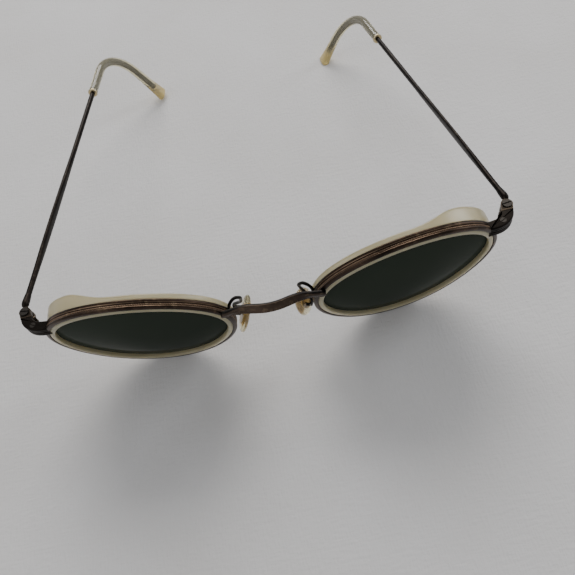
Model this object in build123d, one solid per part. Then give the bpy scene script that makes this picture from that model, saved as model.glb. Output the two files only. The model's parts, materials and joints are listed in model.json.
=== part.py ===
from build123d import *
import math
import os

os.makedirs("parts", exist_ok=True)

# ---------------------------------------------------------------------------
# Round metal-front sunglasses with translucent acetate shield inserts.
# Millimetres.  +Z up, -Y is the front (the side that faces away from the
# wearer), +X is the wearer's left.  The glasses stand on the lower edge of the
# rims and on the ends of the temple tips.
# ---------------------------------------------------------------------------

# --- eye shape and front -----------------------------------------------------
EYE_A = 22.3            # half width of the visible lens
EYE_B = 19.613          # half height of the visible lens
EYE_X = 35.72           # lens centre from the middle of the front
EYE_Z = 22.352          # lens centre above the rims' lowest point (before levelling)
PANTO = 10.0            # forward lean of the top of the front, degrees
WRAP = 5.87             # each eye turns back towards the temple, degrees
BASE_R = 107.73         # base curve radius of lens, insert and rim

# --- section through lens, insert and rim ("off" is the distance outside the
#     visible lens edge, "z" is the height in front of the lens surface) --------
LENS_OFF = 0.75
LENS_T = 2.0
LIP_OFF = 1.42          # outside of the insert's front lip
LIP_Z = 1.25
INS_OFF = 2.25          # outside of the insert behind the metal rim
RIM_IN = 1.45
RIM_OUT = 2.60
RIM_Z0 = -0.95
RIM_Z1 = 1.30
BAND_IN = 2.30          # floor of the engraved band on the rim's edge
BAND_Z0 = -0.35
BAND_Z1 = 0.80
VEE_Z0, VEE_Z1, VEE_OFF = -0.05, 0.45, 1.85

# rear edge of the insert: distance behind the lens-centre plane, against the
# horizontal position; the deep part is the side wing near the temple
REAR = [(-27.0, 5.6), (-18.0, 5.1), (-8.0, 4.7), (0.0, 4.65), (4.5, 4.9), (8.5, 6.0),
        (12.5, 7.4), (16.5, 8.0), (21.0, 8.3), (27.0, 8.7)]

# --- bridge ------------------------------------------------------------------
BRIDGE_T = 1.1          # thickness of the strip
BRIDGE_W = 2.6          # its broad face
BRIDGE_TURN = 40.0      # in the middle the broad face turns upwards by this, degrees
# centre line in the leaning plane of the front: (x, y, z above the eye centre)
BRIDGE = [(0.0, -2.45, 9.72), (2.4, -2.28, 9.68), (4.7, -1.80, 9.55), (7.0, -1.32, 9.32),
          (9.3, -1.16, 9.08), (11.7, -1.36, 8.90), (14.3, -1.62, 8.75)]

# --- end piece, closing screw and hinge ---------------------------------------
EP_Z0, EP_Z1 = 32.10, 35.30
EP_SPLIT = 33.70
EP_GAP = 0.08
EP_OUT = [(56.6, 1.70), (58.6, 1.70), (60.4, 1.95), (62.2, 2.65), (63.5, 3.70), (64.45, 5.15), (64.85, 6.60)]
EP_IN = [(61.60, 6.60), (61.35, 5.75), (60.6, 4.95), (59.2, 4.45), (56.6, 4.20)]
CLOSE_X, CLOSE_Y = 61.30, 3.75
HX, HY, HZ = 63.85, 8.45, 33.70      # hinge axis and the middle of its barrel
KN_R = 1.50             # front knuckle radius
TK_R = 1.38             # temple knuckle radius
TK_H = 1.05             # temple knuckle height
KN_GAP = 0.05           # gap above and below the temple knuckle
HS_R = 0.55             # hinge screw shank radius
HS_HEAD = 1.22

# --- temple --------------------------------------------------------------------
# the two temples have been bent to suit one wearer, so each has its own numbers:
# toe in and droop of the straight wire in degrees, and the sleeve's end seen
# along the wire (across, along, down)
TEMPLES = {
    "left": dict(toe=8.28, droop=-7.06, end=(-13.14, 120.70, -19.61)),
    "right": dict(toe=10.00, droop=-3.56, end=(-12.29, 121.95, -25.35)),
}
WIRE_X, WIRE_Z = 1.30, 0.42   # the wire runs this far outside and above the hinge
BEND_S = 118.14         # distance from the hinge to the corner of the ear bend
BEND_R = 16.6
SLEEVE_S = 91.4
CORE_R = 0.60
SLEEVE_HOLE = 0.62

# --- nose pads -------------------------------------------------------------------
PAD_W, PAD_L, PAD_T = 7.4, 12.8, 2.2
PAD_RISE = 1.2          # the pad box sits this far above the pad's middle
SCREW_N = 1.95          # pad screw's distance from the pad's middle plane
# per side: pad centre, long axis (up), direction of the outward normal before squaring, arm route
PADS = {
    "left": dict(c=(8.0, 3.9, 17.6), up=(-0.20, -0.20, 0.96), out=(0.75, -0.40, 0.0)),
    "right": dict(c=(8.9, 4.7, 16.6), up=(-0.38, 0.25, 0.89), out=(1.0, -0.05, 0.0)),
}
ARM_R = 0.45


def lens_point(t):
    r = 1 + 0.035 * math.sin(2 * t) + 0.006 * math.cos(3 * t) + 0.034 * math.sin(3 * t) + 0.009 * math.cos(4 * t)
    return EYE_A * math.cos(t) * r, EYE_B * math.sin(t) * r


def outline_point(t, off):
    e = 1e-4
    u0, v0 = lens_point(t - e)
    u1, v1 = lens_point(t + e)
    du, dv = u1 - u0, v1 - v0
    n = math.hypot(du, dv)
    u, v = lens_point(t)
    return u + off * dv / n, v - off * du / n


def prism(off, y0=-9.0, y1=16.0, n=60):
    """Eye shape grown by off, as a straight block along Y."""
    pts = [Vector(p[0], y0, p[1]) for p in (outline_point(2 * math.pi * i / n, off) for i in range(n))]
    face = Face(Wire([Edge.make_spline(pts, periodic=True)]))
    return Solid.extrude(face, Vector(0, y1 - y0, 0))


def ball(z):
    return Pos(0, BASE_R, 0) * Sphere(BASE_R + z)


def one(shape):
    """Largest solid of a boolean result."""
    s = shape.solids() if hasattr(shape, "solids") else shape
    return sorted(s, key=lambda q: q.volume)[-1]


def ring(o0, o1, z0, z1):
    return ((prism(o1) - prism(o0)) & ball(z1)) - ball(z0)


def unit(v):
    v = Vector(*v)
    return v / v.length


EYE_LOC = Pos(EYE_X, 0, EYE_Z) * Rotation(PANTO, 0, 0) * Rotation(0, 0, WRAP)
TILT_LOC = Pos(0, 0, EYE_Z) * Rotation(PANTO, 0, 0)

# --- lens, insert and rim of the wearer's left eye, in the eye's own frame --------
lens = (prism(LENS_OFF) & ball(0)) - ball(-LENS_T)

rear_top = [Vector(a, b, -30) for a, b in REAR]
rear_face = Face(Wire([
    Edge.make_spline(rear_top),
    Edge.make_line(rear_top[-1], Vector(27, 30, -30)),
    Edge.make_line(Vector(27, 30, -30), Vector(-27, 30, -30)),
    Edge.make_line(Vector(-27, 30, -30), rear_top[0]),
]))
rear_cut = Solid.extrude(rear_face, Vector(0, 0, 60))

lip = (prism(LIP_OFF) & ball(LIP_Z)) - ball(-1.3)
back = (prism(INS_OFF) & ball(-1.0)) - rear_cut
vee = (prism(VEE_OFF - 0.05) & ball(VEE_Z1 - 0.03)) - ball(VEE_Z0 + 0.03)
seat = (prism(LENS_OFF + 0.02) & ball(0.02)) - ball(-LENS_T - 0.02)
insert = (lip + back + vee) - prism(0.0, -12, 3.0) - prism(0.30, 3.0, 18.0) - seat

rim = ring(RIM_IN, RIM_OUT, RIM_Z0, RIM_Z1)
rim = rim - ring(BAND_IN, RIM_OUT + 0.4, BAND_Z0, BAND_Z1)
rim = rim - ring(RIM_IN - 0.3, VEE_OFF, VEE_Z0, VEE_Z1)

lens_w = EYE_LOC * one(lens)
insert_w = EYE_LOC * one(insert)
rim_slot = Pos(59.0, 3.0, EP_SPLIT) * Box(6.0, 12.0, EP_GAP * 2)
rim_w = one((EYE_LOC * one(rim)) - rim_slot)

# --- bridge -------------------------------------------------------------------------
pts = [(-a, b, c) for a, b, c in reversed(BRIDGE[1:])] + BRIDGE
strip = []
for i, (x, y, z) in enumerate(pts):
    j0, j1 = max(i - 1, 0), min(i + 1, len(pts) - 1)
    run = Vector(pts[j1][0] - pts[j0][0], pts[j1][1] - pts[j0][1], pts[j1][2] - pts[j0][2]).normalized()
    q = min(max((11.5 - abs(x)) / 7.0, 0), 1)
    el = math.radians(BRIDGE_TURN) * q * q * (3 - 2 * q)
    tall = Vector(0, math.sin(el), math.cos(el))
    tall = (tall - run * tall.dot(run)).normalized()
    w = BRIDGE_W * (0.66 if abs(x) > 14 else 1.0)
    pl = Plane(origin=(x, y, z), x_dir=tall, z_dir=run)
    strip.append((pl * RectangleRounded(w, BRIDGE_T, 0.38)).face())
bridge = TILT_LOC * loft(strip)
front_env = EYE_LOC * ((prism(RIM_OUT + 0.01, -9, 10)) & ball(RIM_Z1 + 0.01))
front_env_r = mirror(front_env, Plane.YZ)
bridge = one((bridge - front_env) - front_env_r)

# --- end piece: two halves clamped by the closing screw --------------------------------
def plan_solid(outer, inner, z0, z1):
    a = [Vector(x, y, z0) for x, y in outer]
    b = [Vector(x, y, z0) for x, y in inner]
    f = Face(Wire([Edge.make_spline(a), Edge.make_line(a[-1], b[0]), Edge.make_spline(b), Edge.make_line(b[-1], a[0])]))
    return Solid.extrude(f, Vector(0, 0, z1 - z0))


eye_block = EYE_LOC * prism(RIM_OUT + 0.005, -25, 25)


def cyl(x, y, r, z0, z1):
    return Pos(x, y, (z0 + z1) / 2) * Cylinder(r, z1 - z0)


close_head_z = EP_Z1 - 0.40
ep_up = plan_solid(EP_OUT, EP_IN, EP_SPLIT + EP_GAP, EP_Z1) - eye_block
ep_up = ep_up - cyl(CLOSE_X, CLOSE_Y, 0.53, 30, 37) - cyl(CLOSE_X, CLOSE_Y, 0.80, close_head_z, 37)
ep_lo = plan_solid(EP_OUT, EP_IN, EP_Z0, EP_SPLIT - EP_GAP) - eye_block
ep_lo = ep_lo - cyl(CLOSE_X, CLOSE_Y, 0.53, 30, 37)
ep_up, ep_lo = one(ep_up), one(ep_lo)

closing_screw = cyl(CLOSE_X, CLOSE_Y, 0.50, EP_Z0 + 0.1, close_head_z) + cyl(CLOSE_X, CLOSE_Y, 0.76, close_head_z, EP_Z1 + 0.06)
closing_screw = one(closing_screw - Pos(CLOSE_X, CLOSE_Y, EP_Z1) * Rotation(0, 0, 30) * Box(2.2, 0.24, 0.36))

# --- front hinge leaf with its two knuckles ----------------------------------------------
tk0, tk1 = HZ - TK_H / 2, HZ + TK_H / 2
link = [(61.75, 6.61), (64.83, 6.61), (HX + KN_R, HY), (HX - KN_R, HY)]


def link_solid(z0, z1):
    w = Wire.make_polygon([Vector(x, y, z0) for x, y in link], close=True)
    return Solid.extrude(Face(w), Vector(0, 0, z1 - z0)) + cyl(HX, HY, KN_R, z0, z1)


web = Pos((61.75 + 64.83) / 2, 6.61 + 0.15, HZ) * Box(64.83 - 61.75, 0.30, EP_Z1 - EP_Z0)
front_hinge = link_solid(tk1 + KN_GAP, EP_Z1) + link_solid(EP_Z0, tk0 - KN_GAP) + web
front_hinge = front_hinge - cyl(HX, HY, HS_R + 0.02, 30, 37) - cyl(HX, HY, HS_HEAD + 0.03, EP_Z1 - 0.32, 37)
front_hinge = one(front_hinge)

hinge_screw = cyl(HX, HY, HS_R, EP_Z0 - 0.15, EP_Z1 - 0.30) + cyl(HX, HY, HS_HEAD, EP_Z1 - 0.30, EP_Z1 + 0.28)
hinge_screw = one(hinge_screw - Pos(HX, HY, EP_Z1 + 0.28) * Rotation(0, 0, 8) * Box(3.0, 0.32, 0.44))

# --- temple ---------------------------------------------------------------------------------
turn_room = cyl(HX, HY, KN_R + 0.15, tk1, 37) + cyl(HX, HY, KN_R + 0.15, 30, tk0)


def hinge_loc(spec):
    return Pos(HX, HY, HZ) * Rotation(0, 0, spec["toe"]) * Rotation(spec["droop"], 0, 0)


def temple_hinge_for(spec):
    """Knuckle, neck and the ferrule that holds the wire."""
    loc = hinge_loc(spec)
    lean = math.degrees(math.atan2(WIRE_X, 2.5))
    neck = loc * (Pos(WIRE_X * 0.55, 1.45, WIRE_Z * 0.45) * Rotation(0, 0, -lean) * Box(1.25, 3.0, 0.90))
    ferrule = loc * (Pos(WIRE_X, 3.40, WIRE_Z) * Rotation(90, 0, 0) * Cylinder(1.00, 2.6))
    bore = loc * (Pos(WIRE_X, 4.10, WIRE_Z) * Rotation(90, 0, 0) * Cylinder(0.80, 3.0))
    h = (cyl(HX, HY, TK_R, tk0, tk1) + neck + ferrule) - turn_room - bore - cyl(HX, HY, HS_R + 0.05, 30, 37)
    return one(h)


# wire sections: distance from the hinge, thickness across, height
SECT = [(2.62, 1.56, 1.56), (12.0, 1.52, 1.60), (24.0, 1.20, 2.35), (34.0, 1.10, 2.60), (42.0, 1.16, 2.40),
        (52.0, 1.32, 2.02), (68.0, 1.52, 1.66), (80.0, 1.58, 1.60), (SLEEVE_S, 1.60, 1.60)]


def oval(s, w, h):
    pl = Plane(origin=(0, s, 0), x_dir=(1, 0, 0), z_dir=(0, 1, 0))
    n = 16
    p = [pl.from_local_coords(Vector(w / 2 * math.cos(2 * math.pi * i / n), h / 2 * math.sin(2 * math.pi * i / n), 0)) for i in range(n)]
    return Wire([Edge.make_spline(p, periodic=True)])


shaft = Solid.make_loft([oval(*q) for q in SECT])


def tube(r, path, s0):
    pl = Plane(origin=(0, s0, 0), x_dir=(1, 0, 0), z_dir=(0, 1, 0))
    return sweep(pl * Circle(r), path=path, transition=Transition.RIGHT)


def wire_and_tip(spec):
    """The wire with its core, and the sleeve: bead ring, slim neck, even bend, flared paddle."""
    loc = hinge_loc(spec) * Pos(WIRE_X, 0, WIRE_Z)
    corner = Vector(0, BEND_S, 0)
    end = Vector(*spec["end"])
    out_dir = (end - corner).normalized()
    turn = math.radians(corner.normalized().get_angle(out_dir))
    tangent_len = BEND_R * math.tan(turn / 2)
    arc0 = Vector(0, BEND_S - tangent_len, 0)
    arc1 = corner + out_dir * tangent_len
    half = (Vector(0, -1, 0) + out_dir).normalized()
    arc_mid = corner + half * (BEND_R / math.cos(turn / 2) - BEND_R)
    arc_c = corner + half * (BEND_R / math.cos(turn / 2))

    def path(s0, endpoint):
        return Wire([Edge.make_line(Vector(0, s0, 0), arc0), Edge.make_three_point_arc(arc0, arc_mid, arc1), Edge.make_line(arc1, endpoint)])

    core_end = end - out_dir * 4.2
    wire = one(shaft + tube(CORE_R, path(SLEEVE_S - 1.0, core_end), SLEEVE_S - 1.0))

    bead = Pos(0, SLEEVE_S + 0.70, 0) * Rotation(90, 0, 0) * Cylinder(1.74, 1.2)
    wide = (Vector(0, 1, 0) - out_dir * out_dir.Y).normalized()
    side = out_dir.cross(wide).normalized()
    tail = (end - arc1).length

    def section(o, d, w, t, k):
        """Rounded closed section at o across direction d: w along the head, t through it, k squareness."""
        a1 = (d.cross(side)).normalized()
        a2 = d.cross(a1).normalized()
        n = 16
        p = []
        for i in range(n):
            a = 2 * math.pi * i / n + math.pi      # seam on the inner side
            ca, sa = math.cos(a), math.sin(a)
            p.append(o + a1 * (w / 2 * math.copysign(abs(ca) ** k, ca)) + a2 * (t / 2 * math.copysign(abs(sa) ** k, sa)))
        return Wire([Edge.make_spline(p, periodic=True)])

    stations = []
    for s_, r_ in ((SLEEVE_S, 1.40), (93.5, 1.42), (arc0.Y - 1.0, 1.50)):
        stations.append(section(Vector(0, s_, 0), Vector(0, 1, 0), 2 * r_, 2 * r_, 1.0))
    for i in range(1, 8):
        a = turn * i / 8
        o = arc_c + (arc0 - arc_c) * math.cos(a) + Vector(0, 1, 0) * (BEND_R * math.sin(a))
        d = Vector(0, 1, 0) * math.cos(a) + (arc_c - arc0).normalized() * math.sin(a)
        r_ = 1.52 + 0.12 * i / 8
        stations.append(section(o, d, 2 * r_, 2 * r_, 1.0))
    # the last station lies below the table, where the sleeve is cut flat
    floor_drop = ((loc * Pos(*end)).position.Z - FOOT_Z + 2.4) / abs((loc * Pos(*(end + out_dir))).position.Z - (loc * Pos(*end)).position.Z)
    for d_, w_, t_, k_ in ((1.0, 3.35, 3.25, 1.0), (tail * 0.40, 3.8, 3.25, 0.97), (tail * 0.72, 4.8, 3.15, 0.88), (tail + floor_drop, 6.1, 3.0, 0.78)):
        stations.append(section(arc1 + out_dir * d_, out_dir, w_, t_, k_))
    sleeve = Solid.make_loft(stations) + bead
    hole = tube(SLEEVE_HOLE, path(SLEEVE_S - 3.0, core_end + out_dir * 0.05), SLEEVE_S - 3.0)
    sleeve = one(sleeve - hole)
    print("sleeve", [round(v, 3) for v in (arc0.Y, tail, math.degrees(turn), floor_drop)])
    return loc * wire, loc * sleeve, (loc * Pos(*end)).position


FOOT_Z = min(rim_w.bounding_box().min.Z, insert_w.bounding_box().min.Z)

# --- nose pads, their boxes, screws and arms --------------------------------------------------


def pad_set(spec):
    up = unit(spec["up"])
    out = Vector(*spec["out"])
    out = (out - up * out.dot(up)).normalized()
    pl = Plane(origin=Vector(*spec["c"]), x_dir=out, z_dir=up)     # local x outward, y rearward, z up
    loc = pl.location
    body = Plane.YZ * Ellipse(PAD_W / 2, PAD_L / 2)
    body = extrude(body, amount=PAD_T / 2, both=True)
    body = fillet(body.edges(), 0.85)
    plate = Plane.YZ * Ellipse(1.75, 3.6)
    plate = extrude(plate, amount=0.40, both=True)
    zc = PAD_RISE
    tongue = Pos(1.10, 0, zc) * Box(1.5, 1.2, 1.3)
    tongue = tongue + Pos(SCREW_N, 0, zc) * Rotation(90, 0, 0) * Cylinder(0.68, 1.2)
    core_full = plate + tongue
    core_ = one(core_full - Pos(SCREW_N, 0, zc) * Rotation(90, 0, 0) * Cylinder(0.34, 4))
    pad_ = one(body - core_full)
    box_ = Pos(2.16, 0, zc) * Box(1.56, 2.0, 2.0) - Pos(1.95, 0, zc) * Box(1.60, 1.34, 4.0)
    box_ = box_ - Pos(SCREW_N, 0, zc) * Rotation(90, 0, 0) * Cylinder(0.32, 4)
    box_ = one(box_)
    scr = Pos(SCREW_N, 0, zc) * Rotation(90, 0, 0) * Cylinder(0.30, 2.0)
    scr = scr + Pos(SCREW_N, -1.2, zc) * Rotation(90, 0, 0) * Cylinder(0.55, 0.4)
    scr = one(scr - Pos(SCREW_N, -1.4, zc) * Box(1.4, 0.24, 0.2))
    anchor = pl.from_local_coords(Vector(2.94, 0, zc))
    route = [Vector(11.6, -0.4, 27.3), Vector(10.7, 0.6, 29.9), Vector(9.1, 1.2, 31.2), Vector(7.7, 2.2, 29.2),
             Vector(8.2, 3.4, 25.2), anchor + out * 0.9 + up * 2.2, anchor + out * 0.02]
    path = FilletPolyline(*route, radius=spec["radii"])
    sec = Plane(origin=route[0], z_dir=route[1] - route[0])
    arm = sweep(sec * Circle(ARM_R), path=path)
    arm = one(arm - eye_block)
    arm = one(arm - loc * (Pos(2.16, 0, zc) * Box(1.56, 2.0, 2.0)))
    axis = pl.y_dir
    pos = pl.from_local_coords(Vector(SCREW_N, 0, zc))
    return dict(pad=loc * pad_, core=loc * core_, box=loc * box_, screw=loc * scr, arm=arm, axis=axis, pos=pos)


for k in PADS:
    PADS[k]["radii"] = [0.9, 0.8, 0.8, 1.4, 0.9]
left_pad = pad_set(PADS["left"])
right_pad = pad_set(PADS["right"])

nodes = {"bridge": bridge}


def both(name, shape):
    nodes["left_" + name] = shape
    nodes["right_" + name] = mirror(shape, Plane.YZ)


both("rim", rim_w)
both("insert", insert_w)
both("lens", lens_w)
both("end_piece_upper", ep_up)
both("end_piece_lower", ep_lo)
both("closing_screw", closing_screw)
both("front_hinge", front_hinge)
both("hinge_screw", hinge_screw)
for side_name, spec in TEMPLES.items():
    wire, sleeve, foot = wire_and_tip(spec)
    for nm, shape in (("temple_hinge", temple_hinge_for(spec)), ("temple", wire), ("temple_tip", sleeve)):
        nodes[side_name + "_" + nm] = shape if side_name == "left" else mirror(shape, Plane.YZ)
    print(side_name, "sleeve end", foot)
for nm, key in (("nose_pad", "pad"), ("pad_core", "core"), ("pad_box", "box"), ("pad_screw", "screw"), ("pad_arm", "arm")):
    nodes["left_" + nm] = left_pad[key]
    nodes["right_" + nm] = mirror(right_pad[key], Plane.YZ)

# level: the tips end on the plane that the rims stand on, and the origin goes to
# the middle of the box at that plane
floor_z = min(nodes["left_rim"].bounding_box().min.Z, nodes["left_insert"].bounding_box().min.Z)
below = Pos(0, 100, floor_z - 20) * Box(300, 400, 40)
for k in ("left_temple_tip", "right_temple_tip"):
    nodes[k] = one(nodes[k] - below)
lo = [1e9] * 3
hi = [-1e9] * 3
for s in nodes.values():
    b = s.bounding_box()
    for i, (p, q) in enumerate(zip((b.min.X, b.min.Y, b.min.Z), (b.max.X, b.max.Y, b.max.Z))):
        lo[i] = min(lo[i], p)
        hi[i] = max(hi[i], q)
shift = Vector(0, -(lo[1] + hi[1]) / 2, -floor_z)
print("box", [round(v, 3) for v in lo], [round(v, 3) for v in hi], "shift", shift)
for side, sx, ps in (("left", 1, left_pad), ("right", -1, right_pad)):
    p, a = ps["pos"] + shift, ps["axis"]
    print(side, "pad pos", (round(sx * (p.X), 4), round(p.Y, 4), round(p.Z, 4)), "axis", (round(sx * a.X, 5), round(a.Y, 5), round(a.Z, 5)))
print("hinge pos", (HX, round(HY + shift.Y, 4), round(HZ + shift.Z, 4)))
for k, s in nodes.items():
    export_step(Pos(shift.X, shift.Y, shift.Z) * s, "parts/" + k + ".step")
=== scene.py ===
import bpy, bmesh, json, math
import numpy as np
from mathutils import Matrix, Vector

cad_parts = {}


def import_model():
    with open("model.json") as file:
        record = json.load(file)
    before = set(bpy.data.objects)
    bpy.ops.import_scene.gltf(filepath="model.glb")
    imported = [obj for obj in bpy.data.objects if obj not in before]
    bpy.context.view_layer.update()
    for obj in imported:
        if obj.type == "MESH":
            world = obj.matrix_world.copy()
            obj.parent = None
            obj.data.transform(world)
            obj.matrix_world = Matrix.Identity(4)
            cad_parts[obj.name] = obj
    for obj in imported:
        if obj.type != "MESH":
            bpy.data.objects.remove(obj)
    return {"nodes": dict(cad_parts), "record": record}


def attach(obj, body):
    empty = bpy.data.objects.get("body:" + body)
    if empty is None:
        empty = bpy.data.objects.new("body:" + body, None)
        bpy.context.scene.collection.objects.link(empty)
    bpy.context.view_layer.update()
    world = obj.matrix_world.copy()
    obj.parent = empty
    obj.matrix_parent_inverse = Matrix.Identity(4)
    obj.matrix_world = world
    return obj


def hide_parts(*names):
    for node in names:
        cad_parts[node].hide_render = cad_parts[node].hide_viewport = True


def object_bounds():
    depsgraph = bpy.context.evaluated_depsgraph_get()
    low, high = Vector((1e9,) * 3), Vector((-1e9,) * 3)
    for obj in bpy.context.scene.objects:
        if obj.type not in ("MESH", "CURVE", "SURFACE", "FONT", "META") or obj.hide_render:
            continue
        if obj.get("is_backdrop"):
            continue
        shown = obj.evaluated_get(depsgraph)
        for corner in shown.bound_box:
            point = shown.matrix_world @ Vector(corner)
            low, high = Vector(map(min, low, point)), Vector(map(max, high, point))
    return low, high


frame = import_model()


def plain(v):
    if isinstance(v, (int, float)):
        return float(v)
    return [plain(q) for q in v]


cad_box = plain(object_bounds())

# ------------------------------------------------------------------ frame numbers
joints = {j["name"]: j for j in frame["record"]["behaviour"]["joints"]}
HX, HY, HZ = 63.85, 8.45, 33.70
_hp = joints["left_temple_fold"]["pos_m"]
SHIFT = np.array([0.0, _hp[1] * 1000 - HY, _hp[2] * 1000 - HZ])
EYE_A, EYE_B, EYE_X, EYE_Z = 22.3, 19.613, 35.72, 22.352
PANTO, WRAP, BASE_R = math.radians(10.0), math.radians(5.87), 107.73
REAR = [(-27.0, 5.6), (-18.0, 5.1), (-8.0, 4.7), (0.0, 4.65), (4.5, 4.9), (8.5, 6.0), (12.5, 7.4), (16.5, 8.0), (21.0, 8.3), (27.0, 8.7)]


def rotx(a):
    c, s = math.cos(a), math.sin(a)
    return np.array([[1, 0, 0], [0, c, -s], [0, s, c]])


def rotz(a):
    c, s = math.cos(a), math.sin(a)
    return np.array([[c, -s, 0], [s, c, 0], [0, 0, 1]])


def world(P, side=1):
    """Design millimetres of the wearer's left half to metres in the shared frame."""
    P = np.asarray(P, float) * np.array([side, 1, 1])
    return (P + SHIFT) / 1000.0


def spline(xs, ys, x):
    """Natural cubic spline."""
    xs, ys, x = np.asarray(xs, float), np.asarray(ys, float), np.asarray(x, float)
    n = len(xs)
    h = np.diff(xs)
    A = np.zeros((n, n)); r = np.zeros(n)
    A[0, 0] = A[-1, -1] = 1
    for i in range(1, n - 1):
        A[i, i - 1], A[i, i], A[i, i + 1] = h[i - 1], 2 * (h[i - 1] + h[i]), h[i]
        r[i] = 6 * ((ys[i + 1] - ys[i]) / h[i] - (ys[i] - ys[i - 1]) / h[i - 1])
    m = np.linalg.solve(A, r)
    k = np.clip(np.searchsorted(xs, x) - 1, 0, n - 2)
    d0, d1 = x - xs[k], xs[k + 1] - x
    return (m[k] * d1 ** 3 + m[k + 1] * d0 ** 3) / (6 * h[k]) + (ys[k] / h[k] - m[k] * h[k] / 6) * d1 + (ys[k + 1] / h[k] - m[k + 1] * h[k] / 6) * d0


def lens_pt(t):
    r = 1 + 0.035 * np.sin(2 * t) + 0.006 * np.cos(3 * t) + 0.034 * np.sin(3 * t) + 0.009 * np.cos(4 * t)
    return EYE_A * np.cos(t) * r, EYE_B * np.sin(t) * r


def outline(t, off):
    e = 1e-4
    u0, v0 = lens_pt(t - e); u1, v1 = lens_pt(t + e)
    du, dv = u1 - u0, v1 - v0
    n = np.hypot(du, dv)
    u, v = lens_pt(t)
    return u + off * dv / n, v - off * du / n


def even(n, off=2.3):
    """n angles evenly spaced by length round the eye shape."""
    t = np.linspace(0, 2 * np.pi, 6001)
    u, v = outline(t, off)
    s = np.concatenate([[0], np.cumsum(np.hypot(np.diff(u), np.diff(v)))])
    return np.interp(np.linspace(0, s[-1], n, endpoint=False), s, t), s[-1]


EYE_M = rotx(PANTO) @ rotz(WRAP)


def eye(u, v, z):
    """Point z in front of the lens surface over (u, v)."""
    f = np.sqrt((BASE_R + z) ** 2 - u ** 2 - v ** 2) - BASE_R
    return np.stack([u, -f, v], -1) @ EYE_M.T + np.array([EYE_X, 0, EYE_Z])


def eye_y(u, v, y):
    return np.stack([u, y + 0 * u, v], -1) @ EYE_M.T + np.array([EYE_X, 0, EYE_Z])


# ------------------------------------------------------------------ mesh helpers
def mk(name, verts, faces, body, slot, mat, replaces=(), sharp=38.0, flip=False):
    me = bpy.data.meshes.new(name)
    if flip:
        faces = [tuple(reversed(f)) for f in faces]
    me.from_pydata([tuple(map(float, v)) for v in verts], [], [tuple(map(int, f)) for f in faces])
    me.update()
    bm = bmesh.new(); bm.from_mesh(me)
    bmesh.ops.remove_doubles(bm, verts=bm.verts, dist=1e-7)
    bmesh.ops.recalc_face_normals(bm, faces=bm.faces)
    for f in bm.faces:
        f.smooth = True
    for e in bm.edges:
        if len(e.link_faces) == 2 and e.calc_face_angle(0) > math.radians(sharp):
            e.smooth = False
    bm.to_mesh(me); bm.free()
    ob = bpy.data.objects.new(name, me)
    bpy.context.scene.collection.objects.link(ob)
    me.materials.append(mat)
    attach(ob, body)
    if replaces:
        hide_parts(*replaces)
    return ob


def grid(R, close_u=False, close_v=True, cap=True):
    """R: rings x points x 3 -> verts, faces."""
    n, m = R.shape[:2]
    V = [p for ring in R for p in ring]
    F = []
    for i in range(n if close_u else n - 1):
        a, b = i * m, ((i + 1) % n) * m
        for j in range(m if close_v else m - 1):
            k = (j + 1) % m
            F.append((a + j, a + k, b + k, b + j))
    if cap and not close_u:
        for base, rev in ((0, True), ((n - 1) * m, False)):
            F.append(tuple(base + (m - 1 - j if rev else j) for j in range(m)))
    return V, F


def join(*parts):
    V, F = [], []
    for v, f in parts:
        o = len(V)
        V += list(v)
        F += [tuple(i + o for i in q) for q in f]
    return V, F


def frames(path):
    """Tangents and two stable normals along a path."""
    P = np.asarray(path, float)
    T = np.gradient(P, axis=0)
    T /= np.linalg.norm(T, axis=1)[:, None]
    ref = np.array([0, 0, 1.0]) if abs(T[0][2]) < 0.9 else np.array([0, 1.0, 0])
    A = []
    a = ref - T[0] * (ref @ T[0]); a /= np.linalg.norm(a)
    for t in T:
        a = a - t * (a @ t); a = a / np.linalg.norm(a)
        A.append(a)
    A = np.array(A)
    return T, A, np.cross(T, A)


def tube(path, radius, m=20, side=1):
    P = np.asarray(path, float)
    r = np.broadcast_to(np.asarray(radius, float), (len(P),))
    T, A, B = frames(P)
    an = np.linspace(0, 2 * np.pi, m, endpoint=False)
    R = P[:, None] + r[:, None, None] * (np.cos(an)[None, :, None] * A[:, None] + np.sin(an)[None, :, None] * B[:, None])
    return grid(world(R, side))


# ------------------------------------------------------------------ materials
def nodes(name):
    m = bpy.data.materials.new(name)
    m.use_nodes = True
    nt = m.node_tree
    return m, nt, nt.nodes["Principled BSDF"]


def coords(nt, scale=(1, 1, 1)):
    tc = nt.nodes.new("ShaderNodeTexCoord")
    mp = nt.nodes.new("ShaderNodeMapping")
    mp.inputs["Scale"].default_value = scale
    nt.links.new(tc.outputs["Object"], mp.inputs["Vector"])
    return mp.outputs["Vector"]


def noise(nt, vec, scale, detail=4.0, rough=0.55):
    n = nt.nodes.new("ShaderNodeTexNoise")
    n.inputs["Scale"].default_value = scale
    n.inputs["Detail"].default_value = detail
    n.inputs["Roughness"].default_value = rough
    nt.links.new(vec, n.inputs["Vector"])
    return n.outputs["Fac"]


def ramp(nt, fac, stops):
    r = nt.nodes.new("ShaderNodeValToRGB")
    el = r.color_ramp.elements
    while len(el) < len(stops):
        el.new(0.5)
    for e, (p, c) in zip(el, stops):
        e.position = p
        e.color = (*c, 1) if len(c) == 3 else c
    nt.links.new(fac, r.inputs["Fac"])
    return r.outputs["Color"]


def mixc(nt, fac, a, b):
    m = nt.nodes.new("ShaderNodeMix")
    m.data_type = "RGBA"
    for sock, val in ((m.inputs[0], fac), (m.inputs[6], a), (m.inputs[7], b)):
        if hasattr(val, "is_linked") or hasattr(val, "links"):
            nt.links.new(val, sock)
        else:
            sock.default_value = val
    return m.outputs[2]


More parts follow.
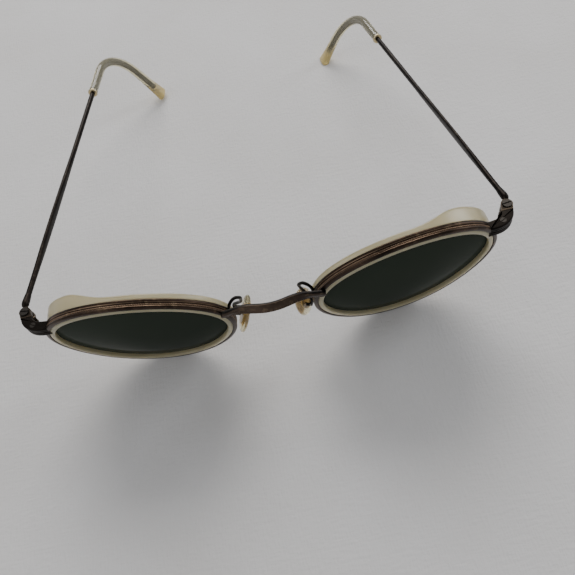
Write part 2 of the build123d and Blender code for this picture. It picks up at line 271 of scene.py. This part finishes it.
def bump(nt, bs, height, strength, dist):
    b = nt.nodes.new("ShaderNodeBump")
    b.inputs["Strength"].default_value = strength
    b.inputs["Distance"].default_value = dist
    nt.links.new(height, b.inputs["Height"])
    nt.links.new(b.outputs["Normal"], bs.inputs["Normal"])


def metal(name, dark, warm, edge, rlo, rhi, scale=380, bump_s=0.15, edge_wear_and_sheen=(0.515, 0.60)):
    m, nt, bs = nodes(name)
    vec = coords(nt)
    n1 = noise(nt, vec, scale * 0.35, 5)
    n2 = noise(nt, vec, scale * 4, 3)
    base = ramp(nt, n1, [(0.30, dark), (0.72, warm)])
    if edge_wear_and_sheen is None:                      # thin, patchy wear everywhere instead of along the edges
        w = ramp(nt, noise(nt, vec, scale * 1.7, 4, 0.6), [(0.55, (0, 0, 0)), (0.80, (0.5, 0.5, 0.5))])
    else:
        # painted highlight and edge wear: convex edges (high pointiness) take the lighter edge colour
        geo = nt.nodes.new("ShaderNodeNewGeometry")
        w = ramp(nt, geo.outputs["Pointiness"], [(edge_wear_and_sheen[0], (0, 0, 0)), (edge_wear_and_sheen[1], (1, 1, 1))])
    col = mixc(nt, w, base, (*edge, 1))
    nt.links.new(col, bs.inputs["Base Color"])
    bs.inputs["Metallic"].default_value = 1.0
    rr = nt.nodes.new("ShaderNodeMapRange")
    rr.inputs["To Min"].default_value = rlo
    rr.inputs["To Max"].default_value = rhi
    nt.links.new(n1, rr.inputs["Value"])
    nt.links.new(rr.outputs["Result"], bs.inputs["Roughness"])
    bump(nt, bs, n2, bump_s, 0.00003)
    return m


M_RIM = metal("antique_bronze_rim", (0.018, 0.013, 0.010), (0.066, 0.044, 0.032), (0.20, 0.135, 0.085), 0.24, 0.42, edge_wear_and_sheen=None)
# lighter bronze for the rim crests: wear plus a painted highlight
M_RIDGE = metal("worn_bronze_ridge_and_highlight", (0.10, 0.066, 0.044), (0.26, 0.175, 0.115), (0.62, 0.46, 0.29), 0.22, 0.36, edge_wear_and_sheen=None)
M_BRIDGE = metal("antique_bronze_bridge", (0.038, 0.028, 0.022), (0.125, 0.090, 0.068), (0.34, 0.25, 0.16), 0.30, 0.48, edge_wear_and_sheen=None)
# M_BLOCK, M_SCREW, M_RING and M_CORE keep the pointiness edge mask: painted highlight and wear on their edges
M_BLOCK = metal("antique_bronze_block", (0.008, 0.007, 0.006), (0.022, 0.018, 0.015), (0.13, 0.10, 0.07), 0.34, 0.52, edge_wear_and_sheen=(0.54, 0.70))
M_TEMPLE = metal("dark_bronze_temple", (0.006, 0.005, 0.005), (0.022, 0.018, 0.015), (0.06, 0.05, 0.04), 0.26, 0.44, edge_wear_and_sheen=None)
# near-black wire for the pad arms and boxes; the bridge also uses it as painted shade on its edges and back
M_ARM = metal("blackened_wire_and_bridge_shade", (0.010, 0.009, 0.009), (0.028, 0.025, 0.022), (0.07, 0.06, 0.05), 0.28, 0.42, edge_wear_and_sheen=None)
M_SCREW = metal("dark_screw_steel", (0.005, 0.005, 0.005), (0.012, 0.011, 0.011), (0.05, 0.045, 0.04), 0.36, 0.52)
M_RING = metal("pale_gold_ring", (0.40, 0.32, 0.17), (0.60, 0.50, 0.30), (0.75, 0.64, 0.42), 0.22, 0.38)
M_CORE = metal("golden_pad_core", (0.22, 0.13, 0.04), (0.42, 0.26, 0.09), (0.60, 0.42, 0.18), 0.40, 0.60)


def acetate(name, lo, hi, trans, rough, sss, scale=90, bump_s=0.05):
    m, nt, bs = nodes(name)
    vec = coords(nt, (1, 1, 1))
    n = noise(nt, vec, scale, 3)
    nt.links.new(ramp(nt, n, [(0.25, lo), (0.75, hi)]), bs.inputs["Base Color"])
    bs.inputs["Roughness"].default_value = rough
    bs.inputs["IOR"].default_value = 1.49
    bs.inputs["Transmission Weight"].default_value = trans
    bs.inputs["Subsurface Weight"].default_value = sss
    bs.inputs["Subsurface Radius"].default_value = (1.0, 0.9, 0.6)
    bs.inputs["Subsurface Scale"].default_value = 0.0015
    bump(nt, bs, noise(nt, vec, scale * 25, 3), bump_s, 0.00004)
    return m


M_INSERT = acetate("champagne_acetate", (0.68, 0.60, 0.36), (0.82, 0.74, 0.50), 0.52, 0.28, 0.30)
M_PAD = acetate("clear_pad", (0.86, 0.76, 0.46), (0.95, 0.88, 0.62), 0.90, 0.12, 0.0)


def tip_mat():
    """Clear along the wire, solid cream where the core stops short of the end."""
    m = acetate("clear_tip_acetate", (0.90, 0.82, 0.52), (0.96, 0.90, 0.66), 0.85, 0.12, 0.0, bump_s=0.03)
    nt = m.node_tree
    bs = nt.nodes["Principled BSDF"]
    sep = nt.nodes.new("ShaderNodeSeparateXYZ")
    nt.links.new(coords(nt), sep.inputs["Vector"])
    mr = nt.nodes.new("ShaderNodeMapRange")
    mr.inputs["From Min"].default_value = 0.0025
    mr.inputs["From Max"].default_value = 0.0065
    mr.inputs["To Min"].default_value = 0.25
    mr.inputs["To Max"].default_value = 0.82
    nt.links.new(sep.outputs["Z"], mr.inputs["Value"])
    low = nt.nodes.new("ShaderNodeMapRange")
    low.inputs["From Min"].default_value = 0.003
    low.inputs["From Max"].default_value = 0.0075
    nt.links.new(sep.outputs["Z"], low.inputs["Value"])
    clear = bs.inputs["Base Color"].links[0].from_socket
    nt.links.new(mixc(nt, low.outputs["Result"], (0.78, 0.62, 0.26, 1), clear), bs.inputs["Base Color"])
    nt.links.new(mr.outputs["Result"], bs.inputs["Transmission Weight"])
    return m


M_TIP = tip_mat()


def lens_mat():
    m, nt, bs = nodes("dark_lens")
    vec = coords(nt)
    n = noise(nt, vec, 28, 2)
    nt.links.new(ramp(nt, n, [(0.3, (0.0300, 0.0370, 0.0285)), (0.7, (0.0350, 0.0430, 0.0330))]), bs.inputs["Base Color"])
    bs.inputs["Roughness"].default_value = 0.07
    bs.inputs["IOR"].default_value = 1.22
    bs.inputs["Specular IOR Level"].default_value = 0.02
    bump(nt, bs, noise(nt, vec, 60, 2), 0.02, 0.00002)
    return m


M_LENS = lens_mat()

# ------------------------------------------------------------------ camera and stage
F_PX, CAM = 615.663, np.array([12.05, -84.217, 163.922])
rv = Vector((2.5636188, -0.2645955, -0.1395830))
ang = rv.length
Rw = np.array(Matrix.Rotation(ang, 3, rv.normalized()))
Rb = (np.diag([1.0, -1.0, -1.0]) @ Rw).T
cam_data = bpy.data.cameras.new("camera")
cam = bpy.data.objects.new("camera", cam_data)
bpy.context.scene.collection.objects.link(cam)
mw = np.eye(4)
mw[:3, :3] = Rb
mw[:3, 3] = (CAM + SHIFT) / 1000.0
cam.matrix_world = Matrix(mw.tolist())
cam_data.sensor_width = 36.0
cam_data.lens = F_PX * 36.0 / 575.0
cam_data.clip_start = 0.001
bpy.context.scene.camera = cam

me = bpy.data.meshes.new("floor")
S = 2.5
me.from_pydata([(-S, -S, 0), (S, -S, 0), (S, S, 0), (-S, S, 0)], [], [(0, 1, 2, 3)])
floor = bpy.data.objects.new("floor", me)
bpy.context.scene.collection.objects.link(floor)
fm, fnt, fbs = nodes("pale_floor")
fvec = coords(fnt)
weave = []
for sx, sy in ((1500.0, 330.0), (330.0, 1100.0)):
    mp = fnt.nodes.new("ShaderNodeMapping")
    mp.inputs["Scale"].default_value = (sx, sy, 1.0)
    fnt.links.new(fvec, mp.inputs["Vector"])
    weave.append(noise(fnt, mp.outputs["Vector"], 1.0, 2, 0.5))
wv = fnt.nodes.new("ShaderNodeMath")
wv.operation = "ADD"
fnt.links.new(weave[0], wv.inputs[0])
fnt.links.new(weave[1], wv.inputs[1])
fnt.links.new(ramp(fnt, noise(fnt, fvec, 18, 3), [(0.3, (0.70, 0.685, 0.670)), (0.7, (0.76, 0.75, 0.745))]), fbs.inputs["Base Color"])
bump(fnt, fbs, wv.outputs[0], 0.55, 0.0003)
fbs.inputs["Roughness"].default_value = 0.9
fbs.inputs["Specular IOR Level"].default_value = 0.15
me.materials.append(fm)
floor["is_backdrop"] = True

wd = bpy.data.worlds.new("soft_sky")
bpy.context.scene.world = wd
wd.use_nodes = True
wd.node_tree.nodes["Background"].inputs["Color"].default_value = (0.96, 0.97, 1.0, 1)
wd.node_tree.nodes["Background"].inputs["Strength"].default_value = 0.42


def area(name, loc, target, size, energy, color, size_y=None):
    d = bpy.data.lights.new(name, "AREA")
    d.energy = energy
    d.color = color
    d.size = size
    if size_y:
        d.shape = "RECTANGLE"
        d.size_y = size_y
    o = bpy.data.objects.new(name, d)
    bpy.context.scene.collection.objects.link(o)
    o.location = loc
    o.rotation_euler = (Vector(target) - Vector(loc)).to_track_quat("-Z", "Y").to_euler()
    return o


area("window", (0.10, 1.10, 0.95), (0, 0, 0.0), 1.1, 16.0, (1.0, 0.975, 0.95), 0.8)
area("side_window", (1.35, 0.45, 0.62), (0, 0, 0.0), 0.45, 5.0, (0.93, 0.96, 1.0), 0.7)
area("fill", (-0.9, -0.3, 0.9), (0, 0, 0.0), 0.8, 2.2, (0.97, 0.98, 1.0))

# ------------------------------------------------------------------ rims, inserts, lenses
RIM_P = [(1.45, -0.95), (2.00, -0.96), (2.36, -0.95), (2.50, -0.88), (2.58, -0.74), (2.61, -0.55), (2.62, -0.38),
         (2.60, -0.20), (2.55, -0.06), (2.46, 0.04), (2.34, 0.09), (2.32, 0.13),
         ("b", 0.20), ("b", 0.28), ("b", 0.36), ("b", 0.44), ("b", 0.52),
         (2.32, 0.60), (2.34, 0.65), (2.45, 0.69), (2.53, 0.76), (2.57, 0.88), (2.57, 1.04), (2.52, 1.18),
         (2.42, 1.28), (2.28, 1.33), (1.95, 1.36), (1.66, 1.35), (1.52, 1.31), (1.46, 1.22), (1.45, 1.0), (1.45, 0.2)]


def rim_mesh(side):
    pitch, per = 0.56, 8
    _, L = even(8)
    nb = int(round(L / pitch))
    t, _ = even(nb * per)
    ph = np.arange(nb * per) / per * 2 * np.pi
    bead = np.sqrt(np.clip(0.5 - 0.5 * np.cos(ph), 0, 1))
    cols = []
    for off, z in RIM_P:
        if off == "b":
            k = 1 - ((z - 0.36) / 0.20) ** 2
            o = 2.33 + 0.17 * max(k, 0) ** 0.5 * bead
        else:
            o = np.full(len(t), off)
        u, v = outline(t, o)
        cols.append(eye(u, v, z))
    R = np.stack(cols, 1)
    return grid(world(R, side), close_u=True)


def rear_y(u):
    a = np.array(REAR)
    return spline(a[:, 0], a[:, 1], u)


def insert_mesh(side):
    t, _ = even(420)
    sec = [(0.02, -0.02), (0.0, 0.25), (0.0, 0.75), (0.05, 1.02), (0.18, 1.17), (0.42, 1.25), (0.80, 1.28), (1.12, 1.27), (1.30, 1.21), (1.39, 1.08), (1.42, 0.8), (1.42, -0.3), (1.42, -1.0),
           (1.9, -1.02), (2.12, -1.05), (2.22, -1.14), (2.25, -1.3)]
    cols = []
    for off, z in sec:
        u, v = outline(t, off)
        cols.append(eye(u, v, z))
    for off, back in ((2.25, 0.75), (2.24, 0.42), (2.18, 0.20), (2.03, 0.06), (1.80, 0.0), (1.30, -0.02), (0.78, 0.0), (0.52, 0.07), (0.37, 0.20), (0.31, 0.42), (0.30, 0.8)):
        u, v = outline(t, off)
        cols.append(eye_y(u, v, rear_y(u) - back))
    for off, z in ((0.30, -2.06), (0.76, -2.02), (0.77, -1.0), (0.77, -0.02)):
        u, v = outline(t, off)
        cols.append(eye(u, v, z))
    return grid(world(np.stack(cols, 1), side), close_u=True)


def lens_mesh(side):
    t = np.linspace(0, 2 * np.pi, 160, endpoint=False)
    V, F = [], []
    rings = []
    for z, fr in ((0.0, list(np.linspace(0.04, 1, 26))), (-2.0, list(np.linspace(1, 0.04, 26)))):
        for k in fr:
            u, v = outline(t, 0.72)
            rings.append(eye(u * k, v * k, z))
    return grid(world(np.stack(rings), side))


SIDES = (("left", 1), ("right", -1))
for nm, sd in SIDES:
    rim_ob = mk(nm + "_rim_milled", *rim_mesh(sd), "front", "rim_metal", M_RIM, (nm + "_rim",))
    rim_ob.data.materials.append(M_RIDGE)     # the bead row and the two crests beside it are painted brighter: worn metal plus a painted highlight on the crests
    assert len(rim_ob.data.polygons) % len(RIM_P) == 0
    for f in rim_ob.data.polygons:
        f.material_index = 1 if f.index % len(RIM_P) in (7, 12, 13, 14, 15, 20) else 0
    mk(nm + "_insert_acetate", *insert_mesh(sd), "front", "acetate", M_INSERT, (nm + "_insert",), sharp=50)
    mk(nm + "_lens_tinted", *lens_mesh(sd), "front", "lens_tint", M_LENS, (nm + "_lens",))

# ------------------------------------------------------------------ bridge
BR = np.array([(0.0, -2.45, 9.72), (2.4, -2.28, 9.68), (4.7, -1.80, 9.55), (7.0, -1.32, 9.32),
               (9.3, -1.16, 9.08), (11.7, -1.36, 8.90), (14.3, -1.62, 8.75)])
full = np.concatenate([BR[:0:-1] * np.array([-1, 1, 1]), BR])


def bridge_mesh():
    per, pitch = 8, 0.56
    n = int(28.6 / pitch) * per
    x = np.linspace(-13.1, 14.3, n + 1)
    y = spline(full[:, 0], full[:, 1], x)
    z = spline(full[:, 0], full[:, 2], x)
    ph = np.arange(n + 1) / per * 2 * np.pi
    bead = np.sqrt(np.clip(0.5 - 0.5 * np.cos(ph), 0, 1))
    run = np.stack([np.ones_like(x), np.gradient(y, x), np.gradient(z, x)], -1)
    run /= np.linalg.norm(run, axis=1)[:, None]
    q = np.clip((11.5 - np.abs(x)) / 7.0, 0, 1)
    el = math.radians(40.0) * q * q * (3 - 2 * q)
    up = np.stack([0 * x, np.sin(el), np.cos(el)], -1)
    up -= run * (up * run).sum(1)[:, None]
    up /= np.linalg.norm(up, axis=1)[:, None]
    nrm = np.cross(run, up)                                 # outward front normal
    e = np.clip(np.minimum(14.3 - x, x + 13.1) / 1.3, 0, 1)
    hk = 0.30 + 0.70 * np.sqrt(1 - (1 - e) ** 2)            # rounded ends
    groove = np.clip((np.abs(x) - 8.0) / 1.5, 0, 1)
    # d: forward of the centre line, h: height
    sec = [(-0.55, -1.10), (-0.60, -0.9), (-0.60, 0.0), (-0.60, 0.9), (-0.55, 1.08), (-0.40, 1.19), (0.0, 1.21), (0.38, 1.19), (0.53, 1.10), (0.60, 0.95),
           (0.61, 0.72), ("g", 0.62), ("g", 0.54), (0.61, 0.44), (0.62, 0.15), (0.62, -0.15), (0.61, -0.36), (0.58, -0.42),
           ("b", -0.52), ("b", -0.62), ("b", -0.72), ("b", -0.82), ("b", -0.92), (0.52, -1.00), (0.46, -1.10), (0.30, -1.19), (0.0, -1.21), (-0.38, -1.19)]
    C = np.stack([x, y, z], -1)
    cols = []
    for d, h in sec:
        if d == "b":
            k = 1 - ((h + 0.72) / 0.24) ** 2
            dd = 0.52 + 0.16 * max(k, 0) ** 0.5 * bead
        elif d == "g":
            dd = 0.61 - 0.10 * groove
        else:
            dd = d + 0 * x
        cols.append(C + nrm * (dd * 0.92)[:, None] + up * (h * 1.07 * hk)[:, None])
    R = np.stack(cols, 1)
    R = R @ rotx(PANTO).T + np.array([0, 0, EYE_Z])
    return grid(world(R)), x, nrm @ rotx(PANTO).T


bar_mesh, bar_x, bar_n = bridge_mesh()
bar = mk("bridge_bar", *bar_mesh, "front", "rim_metal", M_BRIDGE, ("bridge",))
bar.data.materials.append(M_ARM)        # painted shade: the edges and the back, the faces turned away from the front, take the near-black wire metal
for f in bar.data.polygons:
    q = [float(np.interp(f.center.x * 1000, bar_x, bar_n[:, i])) for i in range(3)]
    f.material_index = 0 if Vector(q).dot(f.normal) > 0.45 else 1

# ------------------------------------------------------------------ end pieces
EP_OUT = [(57.3, 1.75), (58.6, 1.70), (60.4, 1.95), (62.2, 2.65), (63.5, 3.70), (64.45, 5.15), (64.85, 6.60)]
EP_IN = [(61.60, 6.60), (61.35, 5.75), (60.6, 4.95), (59.2, 4.45), (57.3, 4.20)]


def resample(pts, n):
    P = np.array(pts, float)
    s = np.concatenate([[0], np.cumsum(np.linalg.norm(np.diff(P, axis=0), axis=1))])
    q = np.linspace(0, s[-1], n)
    return np.stack([spline(s, P[:, 0], q), spline(s, P[:, 1], q)], -1)


def block(levels, side):
    out = resample(EP_OUT, 40)
    inn = resample(EP_IN, 30)
    poly = np.concatenate([out, inn])
    no = len(out)
    T = np.roll(poly, -1, 0) - np.roll(poly, 1, 0)
    T /= np.linalg.norm(T, axis=1)[:, None]
    N = np.stack([T[:, 1], -T[:, 0]], -1)      # outward for a counter-clockwise outline
    rings = []
    for z, din, dout in levels:
        d = np.where(np.arange(len(poly)) < no, dout, din)
        q = poly - N * d[:, None]
        rings.append(np.concatenate([q, np.full((len(q), 1), z)], 1))
    return grid(world(np.stack(rings), side))


def lathe(cx, cy, prof, m=40, side=1):
    an = np.linspace(0, 2 * np.pi, m, endpoint=False)
    R = np.stack([np.stack([cx + r * np.cos(an), cy + r * np.sin(an), z + 0 * an], -1) for r, z in prof])
    return grid(world(R, side))


for nm, sd in SIDES:
    up = [(33.78, .12, .14), (33.86, .03, .04), (33.95, 0, 0), (34.25, 0, 0), (34.36, 0, .02), (34.42, 0, .13), (34.50, 0, .13), (34.56, 0, .02),
          (34.70, 0, -.02), (34.98, 0, -.02), (35.12, .03, .02), (35.22, .08, .09), (35.29, .18, .22), (35.30, .30, .36)]
    lo = [(32.10, .30, .36), (32.12, .18, .2), (32.2, .07, .08), (32.34, 0, .0), (32.72, 0, -.02), (32.86, 0, .01), (32.92, 0, .12), (33.0, 0, .12), (33.06, 0, .01),
          (33.2, 0, 0), (33.46, 0, 0), (33.55, .03, .04), (33.62, .12, .14)]
    mk(nm + "_block_upper", *block(up, sd), "front", "rim_metal", M_BLOCK, (nm + "_end_piece_upper",))
    mk(nm + "_block_lower", *block(lo, sd), "front", "rim_metal", M_BLOCK, (nm + "_end_piece_lower",))
    # the small barrel that stands on the inner corner beside the hinge
    mk(nm + "_hinge_boss", *lathe(61.75, 6.25, [(0.3, 32.5), (0.62, 32.56), (0.72, 32.7), (0.72, 34.6), (0.62, 34.76), (0.3, 34.82)], 28, sd), "front", "rim_metal", M_BLOCK)

# ------------------------------------------------------------------ temples and tips
TEMPLES = {"left": dict(toe=8.28, droop=-7.06, end=(-13.14, 120.70, -19.61), foot=0.4),
           "right": dict(toe=10.00, droop=-3.56, end=(-12.29, 121.95, -25.35), foot=0.4)}
WIRE_X, WIRE_Z, BEND_S, BEND_R = 1.30, 0.42, 118.14, 16.6
SECT = np.array([(2.62, 1.56, 1.56), (12.0, 1.52, 1.60), (24.0, 1.20, 2.35), (34.0, 1.10, 2.60), (42.0, 1.16, 2.40),
                 (52.0, 1.32, 2.02), (68.0, 1.52, 1.66), (80.0, 1.58, 1.60), (91.4, 1.60, 1.60)])


class Temple:
    """One temple's centre line: straight wire, ear bend, straight end."""

    def __init__(self, name, side):
        t = TEMPLES[name]
        self.side, self.foot = side, t["foot"]
        self.M = rotz(math.radians(t["toe"])) @ rotx(math.radians(t["droop"]))
        self.end = np.array(t["end"])
        corner = np.array([0, BEND_S, 0.0])
        self.out = (self.end - corner) / np.linalg.norm(self.end - corner)
        self.turn = math.acos(self.out[1])
        tl = BEND_R * math.tan(self.turn / 2)
        self.arc0 = np.array([0, BEND_S - tl, 0])
        self.arc1 = corner + self.out * tl
        half = np.array([0, -1, 0]) + self.out
        half /= np.linalg.norm(half)
        self.arc_c = corner + half * BEND_R / math.cos(self.turn / 2)
        wide = np.array([0, 1, 0]) - self.out * self.out[1]
        wide /= np.linalg.norm(wide)
        self.side_v = np.cross(self.out, wide)
        self.base = self.arc0[1] + BEND_R * self.turn
        self.s_end = self.base + np.linalg.norm(self.end - self.arc1)

    def along(self, s):
        """Point and direction at distance s along the centre line."""
        if s <= self.arc0[1]:
            return np.array([0, s, 0.0]), np.array([0, 1.0, 0])
        a = (s - self.arc0[1]) / BEND_R
        if a <= self.turn:
            e = (self.arc_c - self.arc0) / BEND_R
            return self.arc_c + (self.arc0 - self.arc_c) * math.cos(a) + np.array([0, 1.0, 0]) * BEND_R * math.sin(a), np.array([0, 1.0, 0]) * math.cos(a) + e * math.sin(a)
        return self.arc1 + self.out * (s - self.base), self.out

    def wire(self, P):
        """Points in the wire's own frame to the shared frame."""
        return self.hinge(np.asarray(P) + np.array([WIRE_X, 0, WIRE_Z]))

    def hinge(self, P):
        return world(np.asarray(P) @ self.M.T + np.array([HX, HY, HZ]), self.side)

    def axes(self, d):
        a1 = np.cross(d, self.side_v)
        a1 /= np.linalg.norm(a1)
        return a1, np.cross(d, a1)


def temple_mesh(T):
    an = np.linspace(0, 2 * np.pi, 28, endpoint=False)
    ca, sa = np.cos(an), np.sin(an)
    rings = []
    for s in np.concatenate([np.linspace(2.62, 91.4, 150), np.linspace(91.45, T.s_end - 4.2, 60)]):
        p, d = T.along(s)
        if s <= 91.4:
            w = np.interp(s, SECT[:, 0], SECT[:, 1]) if s < 12 else float(spline(SECT[:, 0], SECT[:, 1], s))
            h = float(spline(SECT[:, 0], SECT[:, 2], s))
            k = 0.72 if 20 < s < 50 else 0.72 + 0.28 * min(1, min(abs(s - 20), abs(s - 50)) / 10)
            rings.append(p + np.outer(w / 2 * np.sign(ca) * np.abs(ca) ** k, [1, 0, 0]) + np.outer(h / 2 * np.sign(sa) * np.abs(sa) ** k, [0, 0, 1]))
        else:
            b1 = np.array([1.0, 0, 0]) - d * d[0]
            b1 /= np.linalg.norm(b1)
            rings.append(p + 0.60 * (np.outer(ca, b1) + np.outer(sa, np.cross(b1, d))))
    return grid(T.wire(np.stack(rings)))


def tip_mesh(T):
    an = np.linspace(0, 2 * np.pi, 40, endpoint=False)
    ca, sa = np.cos(an), np.sin(an)
    base, tail = T.base, T.s_end - T.base
    last = T.s_end + T.foot
    P = np.array([(92.30, 0.80, 0.80, 1), (92.32, 1.36, 1.36, 1), (92.45, 1.42, 1.42, 1), (93.5, 1.42, 1.42, 1), (96.0, 1.45, 1.45, 1), (T.arc0[1], 1.50, 1.50, 1), (base - 4, 1.60, 1.60, 1),
                  (base + 1.0, 1.68, 1.62, 1), (base + tail * .40, 1.90, 1.62, .97), (base + tail * .72, 2.38, 1.57, .88), (last, 2.80, 1.50, .66)])
    rings = []
    for s in np.unique(np.concatenate([P[:, 0], np.linspace(93.4, last, 80)])):
        p, d = T.along(s)
        a1, a2 = T.axes(d)
        w, t, k = (np.interp(s, P[:, 0], P[:, i]) for i in (1, 2, 3))
        rings.append(p + np.outer(w * np.sign(ca) * np.abs(ca) ** k, a1) + np.outer(t * np.sign(sa) * np.abs(sa) ** k, a2))
    W = T.wire(np.stack(rings))
    # everything below the table slides back along the sleeve until it lies on it
    ax = T.wire(T.out) - T.wire(np.zeros(3))
    low = np.minimum(W[..., 2], 0.0)
    W = W - ax * (low / ax[2])[..., None]
    return grid(W)


def ring_mesh(T):
    """The gold bead where the sleeve starts."""
    an = np.linspace(0, 2 * np.pi, 36, endpoint=False)
    prof = [(91.41, 0.82), (91.41, 1.20), (91.46, 1.42), (91.58, 1.56), (91.78, 1.63), (92.02, 1.61), (92.20, 1.52), (92.28, 1.34), (92.29, 0.82)]
    R = np.stack([np.array([0, s, 0]) + r * np.stack([np.cos(an), 0 * an, np.sin(an)], -1) for s, r in prof])
    return grid(T.wire(R))


def knuckle_mesh(T):
    """Knuckle disc and the tapering neck that carries the wire."""
    an = np.linspace(0, 2 * np.pi, 40, endpoint=False)
    prof = [(0.60, -0.52), (1.25, -0.52), (1.37, -0.42), (1.37, 0.42), (1.25, 0.52), (0.60, 0.52)]
    D = np.stack([np.stack([HX + r * np.cos(an), HY + r * np.sin(an), HZ + z + 0 * an], -1) for r, z in prof])
    disc = grid(world(D, T.side))
    path = np.array([(0.35, 0.75, 0.02), (0.62, 1.30, 0.06), (0.95, 1.95, 0.22), (1.20, 2.60, 0.36), (1.30, 3.30, 0.42), (1.30, 4.20, 0.42), (1.30, 5.2, 0.42), (1.30, 6.2, 0.42)])
    rad = np.array([0.40, 0.40, 0.56, 0.86, 0.99, 0.97, 0.90, 0.81])
    q = np.linspace(0, 1, 40)
    k = np.linspace(0, 1, len(path))
    path = np.stack([spline(k, path[:, i], q) for i in range(3)], -1)
    rad = spline(k, rad, q)
    Tn, A, B = frames(path)
    an = np.linspace(0, 2 * np.pi, 28, endpoint=False)
    R = path[:, None] + rad[:, None, None] * (np.cos(an)[None, :, None] * A[:, None] + np.sin(an)[None, :, None] * B[:, None])
    return join(disc, grid(T.hinge(R)))


for nm, sd in SIDES:
    T = Temple(nm, sd)
    mk(nm + "_temple_wire", *temple_mesh(T), nm + "_temple_body", "temple_metal", M_TEMPLE, (nm + "_temple",))
    mk(nm + "_tip_sleeve", *tip_mesh(T), nm + "_temple_body", "tip_acetate", M_TIP, (nm + "_temple_tip",), sharp=50)
    mk(nm + "_sleeve_ring", *ring_mesh(T), nm + "_temple_body", "temple_metal", M_RING)
    mk(nm + "_temple_neck", *knuckle_mesh(T), nm + "_temple_body", "temple_metal", M_TEMPLE, (nm + "_temple_hinge",))

# ------------------------------------------------------------------ nose pads
PADS = {"left": dict(c=(8.0, 3.9, 17.6), up=(-0.20, -0.20, 0.96), out=(0.75, -0.40, 0.0)),
        "right": dict(c=(8.9, 4.7, 16.6), up=(-0.38, 0.25, 0.89), out=(1.0, -0.05, 0.0))}


def bez(pts, rad, n=7):
    """Polyline with tangent arcs at its corners."""
    P = [np.array(p, float) for p in pts]
    out = [P[0]]
    for i in range(1, len(P) - 1):
        a, b, c = P[i - 1], P[i], P[i + 1]
        d1, d2 = (a - b), (c - b)
        l1, l2 = np.linalg.norm(d1), np.linalg.norm(d2)
        d1, d2 = d1 / l1, d2 / l2
        k = min(rad[i - 1] * 1.3, 0.48 * l1, 0.48 * l2)
        for t in np.linspace(0, 1, n):
            out.append((1 - t) ** 2 * (b + d1 * k) + 2 * t * (1 - t) * b + t * t * (b + d2 * k))
    out.append(P[-1])
    Q = np.array(out)
    s = np.concatenate([[0], np.cumsum(np.linalg.norm(np.diff(Q, axis=0), axis=1))])
    keep = np.concatenate([[True], np.diff(s) > 1e-6])
    Q, s = Q[keep], s[keep]
    q = np.linspace(0, s[-1], 90)
    return np.stack([np.interp(q, s, Q[:, i]) for i in range(3)], -1)


for nm, sd in SIDES:
    sp = PADS[nm]
    upv = np.array(sp["up"], float); upv /= np.linalg.norm(upv)
    o = np.array(sp["out"], float); o = o - upv * (o @ upv); o /= np.linalg.norm(o)
    w = np.cross(upv, o)
    c = np.array(sp["c"], float)

    def loc(n_, w_, l_):
        return c + np.multiply.outer(n_, o) + np.multiply.outer(w_, w) + np.multiply.outer(l_, upv)

    an = np.linspace(0, 2 * np.pi, 48, endpoint=False)
    rings = []
    for q in np.linspace(-0.5 * np.pi, 0.5 * np.pi, 22)[1:-1]:
        k = math.cos(q) ** 0.42
        nn = 1.06 * math.sin(q)
        cup = 0.0 if nn > 0 else 0.25
        ww, ll = 3.7 * k * np.cos(an), 6.4 * k * np.sin(an) * (1 + 0.0 * an)
        ww = ww * (1 - 0.10 * np.sin(an))
        rings.append(loc(nn + cup * (ww / 3.7) ** 2 * 0.6, ww, ll))
    mk(nm + "_pad_moulded", *grid(world(np.stack(rings), sd)), nm + "_pad_body", "pad_clear", M_PAD, (nm + "_nose_pad",), sharp=70)
    route = [(11.6, -0.4, 27.3), (10.7, 0.6, 29.9), (9.1, 1.2, 31.2), (7.7, 2.2, 29.2), (8.2, 3.4, 25.2)]
    anchor = loc(2.94, 0.0, 1.2)
    route = [np.array(r) for r in route] + [anchor + o * 0.9 + upv * 2.2, anchor + o * 0.02]
    path = bez(route, [0.9, 0.8, 0.8, 1.4, 0.9])
    mk(nm + "_pad_arm_wire", *tube(path, 0.45, 18, sd), "front", "arm_metal", M_ARM, (nm + "_pad_arm",), sharp=60)

# ------------------------------------------------------------------ CAD nodes that stay
STAY = {"front_hinge": M_BLOCK, "hinge_screw": M_SCREW, "closing_screw": M_SCREW,
        "pad_box": M_ARM, "pad_screw": M_SCREW, "pad_core": M_CORE}
for nm, sd in SIDES:
    for k, mat in STAY.items():
        ob = frame["nodes"][nm + "_" + k]
        obs = ob if isinstance(ob, (list, tuple)) else [ob]
        for q in obs:
            if not q.material_slots:
                q.data.materials.append(mat)
            for sl in q.material_slots:
                sl.material = mat

{"cad": cad_box, "visual": plain(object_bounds())}
